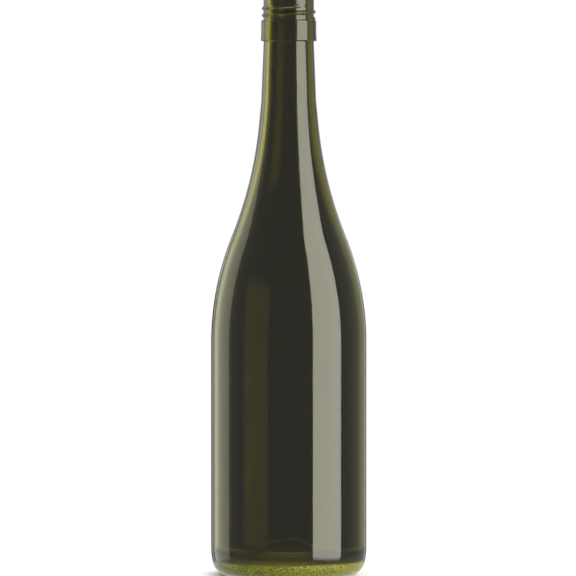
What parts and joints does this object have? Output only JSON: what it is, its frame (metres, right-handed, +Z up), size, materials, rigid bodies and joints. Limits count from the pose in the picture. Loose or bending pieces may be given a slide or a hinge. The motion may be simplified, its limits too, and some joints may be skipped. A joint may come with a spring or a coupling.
{
  "type": "wine bottle",
  "caption": "Empty burgundy-shaped wine bottle of dark green glass with a long sloping shoulder, a screw finish with a collar, and a punt in its base.",
  "frame": {"origin": "centre of the bearing ring, in the plane that the bottle stands on", "axes": "+Z up along the bottle's axis to the mouth; the bottle is round, so +X is any direction across it"},
  "size_m": [0.0814, 0.0814, 0.3085],
  "materials": {
    "glass": "polished dark olive green container glass"
  },
  "bodies": {
    "root": {"bottle": "glass"}
  },
  "joints": []
}
